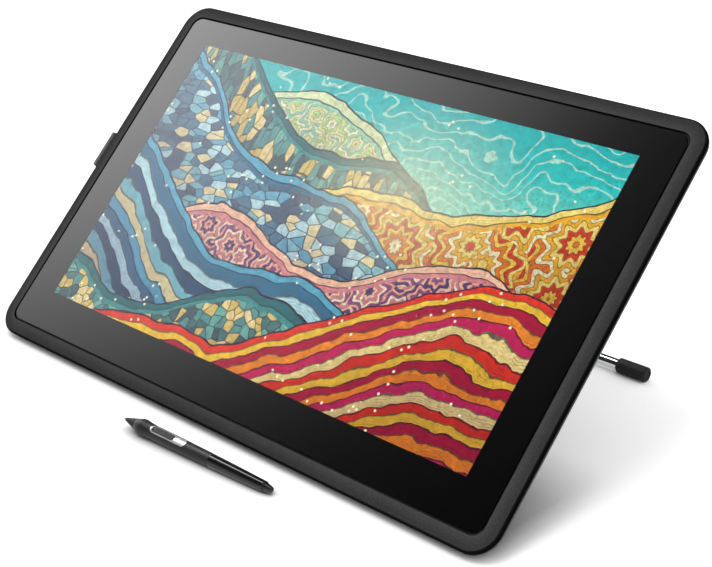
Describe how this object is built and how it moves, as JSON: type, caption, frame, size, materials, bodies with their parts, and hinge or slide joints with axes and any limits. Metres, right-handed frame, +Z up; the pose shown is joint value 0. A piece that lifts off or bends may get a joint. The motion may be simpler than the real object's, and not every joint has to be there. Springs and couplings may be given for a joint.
{
  "type": "graphics tablet with screen",
  "caption": "Wide pen display with a framed glass front, propped at a slope by a hinged rear leg with a foot bar, with a side pen loop and a stylus lying in front.",
  "frame": {"origin": "on the desk, under the middle of the box that holds the display, its stand and its pen", "axes": "+X to the right along the screen, +Y away from the user, +Z up"},
  "size_m": [0.5822, 0.3674, 0.2585],
  "materials": {
    "frame_plastic": "fine moulded texture",
    "cover_plastic": "fine moulded texture",
    "glass": "etched cover glass with a black printed border",
    "screen": "lit picture",
    "film": "clear and white films",
    "sheet_steel": "plated sheet",
    "board": "solder mask",
    "copper": "wire and contacts",
    "brass": "turned",
    "rubber": "matte",
    "elastomer": "smooth moulded",
    "steel": "machined",
    "chrome": "polished",
    "stand_metal": "black powder coat",
    "black_plastic": "satin",
    "gloss_black": "polished",
    "lens": "clear",
    "silver": "silver plated"
  },
  "bodies": {
    "display": {"front_frame": "frame_plastic", "cover_glass": "glass", "glass_tape": "rubber", "lcd_cell": "screen", "diffuser_films": "film", "light_guide": "film", "led_bar": "film", "panel_tray": "sheet_steel", "sensor_board": "board", "shield_plate": "sheet_steel", "main_board": "board", "board_screws": "steel", "panel_cable": "copper", "hdmi_socket": "steel", "usb_socket": "steel", "power_socket": "black_plastic", "back_cover": "cover_plastic", "cover_screws": "steel", "mount_inserts": "brass", "foot_pad_left": "rubber", "foot_pad_right": "rubber", "button_board": "board", "status_lens": "lens", "stand_bracket": "stand_metal", "stand_screws": "steel", "hinge_pin": "steel", "hinge_washers": "brass", "pin_clip": "steel", "lever_pin": "steel", "pen_loop": "elastomer"},
    "power_key": {"power_button": "black_plastic"},
    "leg": {"stand_leg": "stand_metal", "foot_bar": "chrome", "bar_screws": "steel", "foot_grip_left": "rubber", "foot_grip_right": "rubber"},
    "lever": {"release_lever": "black_plastic", "lever_pad": "rubber", "brake_pad": "rubber", "lever_spring": "steel"},
    "pen": {"pen_core": "black_plastic", "pen_nose": "black_plastic", "nose_ring": "silver", "pen_grip": "elastomer", "switch_bezel": "silver", "switch_pin": "steel", "pen_barrel": "gloss_black", "pen_coil": "copper", "pressure_sensor": "black_plastic", "pen_board": "board"},
    "nib": {"pen_nib": "black_plastic"},
    "eraser": {"pen_eraser": "black_plastic"},
    "rocker": {"side_switch": "black_plastic"}
  },
  "joints": [
    {"name": "leg_hinge", "type": "hinge", "parent": "display", "child": "leg", "pos_m": [0.00735, 0.01291, 0.10391], "axis": [1, 0, 0], "range_deg": [-66, 45]},
    {"name": "lever_squeeze", "type": "hinge", "parent": "display", "child": "lever", "pos_m": [0.00735, 0.03236, 0.12689], "axis": [1, 0, 0], "range_deg": [0, 8], "stiffness_Nm_per_rad": 2, "springref_deg": -8.59},
    {"name": "power_press", "type": "slide", "parent": "display", "child": "power_key", "axis": [0, -0.7071, 0.7071], "range_m": [0, 0.0005], "stiffness_N_per_m": 2500, "springref_m": -0.0002},
    {"name": "pen_lift", "type": "slide", "parent": "display", "child": "pen", "axis": [0, 0, 1], "range_m": [0, 0.15]},
    {"name": "nib_press", "type": "slide", "parent": "pen", "child": "nib", "axis": [0.999, 0.0401, -0.0188], "range_m": [0, 0.0003], "stiffness_N_per_m": 1500, "springref_m": -0.0002},
    {"name": "eraser_press", "type": "slide", "parent": "pen", "child": "eraser", "axis": [-0.999, -0.0401, 0.0188], "range_m": [0, 0.0004], "stiffness_N_per_m": 1500, "springref_m": -0.0002},
    {"name": "switch_rock", "type": "hinge", "parent": "pen", "child": "rocker", "pos_m": [-0.00204, -0.17661, 0.01088], "axis": [-0.0302, 0.9267, 0.3745], "range_deg": [-2.5, 2.5], "stiffness_Nm_per_rad": 0.15}
  ]
}
